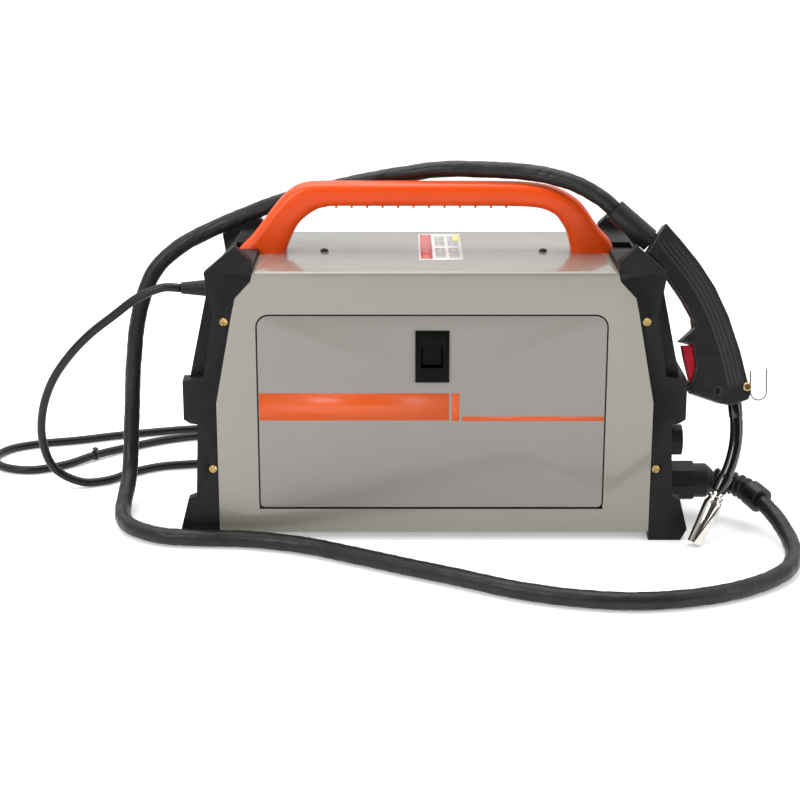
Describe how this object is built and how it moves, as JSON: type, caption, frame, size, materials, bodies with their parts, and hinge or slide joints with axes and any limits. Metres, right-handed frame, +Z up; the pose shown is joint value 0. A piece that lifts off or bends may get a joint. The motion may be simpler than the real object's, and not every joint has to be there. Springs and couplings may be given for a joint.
{
  "type": "mig welding machine",
  "caption": "Portable wire-feed welding machine with a sheet steel case, moulded end bezels, carrying handle, hinged side door, torch on a fixed lead and mains lead.",
  "frame": {"origin": "middle of the underside of the base pan, 7 mm above the floor", "axes": "+X to the control end, -Y to the side with the door, +Z up"},
  "size_m": [0.8277, 0.5645, 0.3529],
  "materials": {
    "cover_paint": "satin",
    "door_paint": "satin",
    "inner_steel": "satin",
    "bezel_plastic": "textured",
    "panel_plastic": "fine texture",
    "handle_plastic": "semi gloss",
    "zinc_screw": "yellow zinc",
    "black_screw": "black oxide",
    "latch_plastic": "gloss",
    "bright_steel": "bright",
    "chrome_plate": "polished",
    "circuit_board": "solder mask",
    "bare_aluminium": "extruded",
    "coil_varnish": "varnished",
    "capacitor_sleeve": "sleeve",
    "brass_fitting": "turned",
    "copper_tip": "turned copper",
    "motor_case": "satin",
    "spool_plastic": "moulded",
    "knob_plastic": "satin",
    "mode_plastic": "satin",
    "window_plastic": "clear tinted",
    "switch_red": "gloss",
    "torch_plastic": "satin",
    "trigger_plastic": "satin",
    "lead_rubber": "soft",
    "boot_rubber": "ribbed",
    "plug_rubber": "moulded",
    "tie_nylon": "nylon"
  },
  "bodies": {
    "root": {"base_pan": "inner_steel", "top_cover": "cover_paint", "front_bezel": "bezel_plastic", "rear_bezel": "bezel_plastic", "control_panel": "panel_plastic", "connector_panel": "panel_plastic", "rear_panel": "cover_paint", "carry_handle": "handle_plastic", "bezel_screws": "zinc_screw", "cover_screws": "black_screw", "hinge_pins": "bright_steel", "partition": "inner_steel", "power_board": "circuit_board", "heatsinks": "bare_aluminium", "transformer": "coil_varnish", "capacitors": "capacitor_sleeve", "control_board": "circuit_board", "fan_frame": "panel_plastic", "fan_guard": "chrome_plate", "power_switch": "panel_plastic", "mains_gland": "panel_plastic", "gas_inlet": "brass_fitting", "gas_valve": "motor_case", "feed_motor": "motor_case", "feed_plate": "bare_aluminium", "wire_guides": "brass_fitting", "spool_spindle": "spool_plastic", "spool_nut": "knob_plastic", "display_window": "window_plastic", "positive_socket": "panel_plastic", "negative_socket": "panel_plastic", "torch_gland": "panel_plastic", "torch_boot": "boot_rubber", "torch_lead": "lead_rubber", "torch_sleeve": "torch_plastic", "torch_handle_left": "torch_plastic", "torch_handle_right": "torch_plastic", "torch_neck": "motor_case", "torch_nozzle": "chrome_plate", "contact_tip": "copper_tip", "torch_screws": "zinc_screw", "mains_cable": "lead_rubber", "mains_coil": "lead_rubber", "mains_plug": "plug_rubber", "cable_tie": "tie_nylon"},
    "door": {"door_panel": "door_paint", "latch_frame": "latch_plastic"},
    "latch": {"latch_paddle": "latch_plastic"},
    "spool": {"wire_spool": "spool_plastic"},
    "drive_roll": {"drive_roll": "bright_steel"},
    "pressure_arm": {"pressure_arm": "panel_plastic"},
    "pressure_roll": {"pressure_roll": "bright_steel"},
    "tension_knob": {"tension_knob": "knob_plastic"},
    "fan": {"fan_rotor": "panel_plastic"},
    "rocker": {"power_rocker": "switch_red"},
    "current_knob": {"current_knob": "knob_plastic"},
    "wire_speed_knob": {"wire_speed_knob": "knob_plastic"},
    "mode_knob": {"mode_switch": "mode_plastic"},
    "trigger": {"torch_trigger": "trigger_plastic"},
    "hook": {"torch_hook": "chrome_plate"}
  },
  "joints": [
    {"name": "door_hinge", "type": "hinge", "parent": "root", "child": "door", "pos_m": [0, -0.095, 0.031], "axis": [1, 0, 0], "range_deg": [0, 90]},
    {"name": "latch_press", "type": "hinge", "parent": "door", "child": "latch", "pos_m": [-0.0029, -0.0937, 0.184], "axis": [1, 0, 0], "range_deg": [0, 16], "stiffness_Nm_per_rad": 0.02},
    {"name": "spool_spin", "type": "hinge", "parent": "root", "child": "spool", "pos_m": [-0.095, -0.06, 0.14], "axis": [0, 1, 0], "continuous": true},
    {"name": "drive_roll_spin", "type": "hinge", "parent": "root", "child": "drive_roll", "pos_m": [0.0914, -0.03, 0.04744], "axis": [0, 1, 0], "continuous": true},
    {"name": "pressure_arm_lift", "type": "hinge", "parent": "root", "child": "pressure_arm", "pos_m": [0.06682, -0.021, 0.08134], "axis": [0, -1, 0], "range_deg": [0, 60]},
    {"name": "pressure_roll_spin", "type": "hinge", "parent": "pressure_arm", "child": "pressure_roll", "pos_m": [0.0986, -0.03, 0.07656], "axis": [0, 1, 0], "continuous": true},
    {"name": "tension_turn", "type": "hinge", "parent": "pressure_arm", "child": "tension_knob", "pos_m": [0.13181, -0.03, 0.08379], "axis": [0.2402, 0, 0.9707], "range_deg": [0, 360]},
    {"name": "fan_spin", "type": "hinge", "parent": "root", "child": "fan", "pos_m": [-0.203, 0.028, 0.062], "axis": [1, 0, 0], "continuous": true},
    {"name": "power_rocker_tilt", "type": "hinge", "parent": "root", "child": "rocker", "pos_m": [-0.21, -0.045, 0.19], "axis": [0, -1, 0], "range_deg": [0, 16]},
    {"name": "current_turn", "type": "hinge", "parent": "root", "child": "current_knob", "pos_m": [0.22094, -0.042, 0.18334], "axis": [0.977, 0, 0.213], "range_deg": [0, 270]},
    {"name": "wire_speed_turn", "type": "hinge", "parent": "root", "child": "wire_speed_knob", "pos_m": [0.22094, 0.042, 0.18334], "axis": [0.977, 0, 0.213], "range_deg": [0, 270]},
    {"name": "mode_turn", "type": "hinge", "parent": "root", "child": "mode_knob", "pos_m": [0.22137, 0, 0.18139], "axis": [0.977, 0, 0.213], "range_deg": [0, 90]},
    {"name": "trigger_press", "type": "hinge", "parent": "root", "child": "trigger", "pos_m": [0.252, -0.06512, 0.174], "axis": [0, -0.963, 0.2696], "range_deg": [0, 5], "stiffness_Nm_per_rad": 0.05},
    {"name": "hook_swivel", "type": "hinge", "parent": "root", "child": "hook", "pos_m": [0.297, -0.08957, 0.1445], "axis": [0, 0.963, -0.2696], "range_deg": [-60, 60]}
  ],
  "couplings": [
    {"joint": "pressure_roll_spin", "follows": "drive_roll_spin", "ratio": -1}
  ]
}
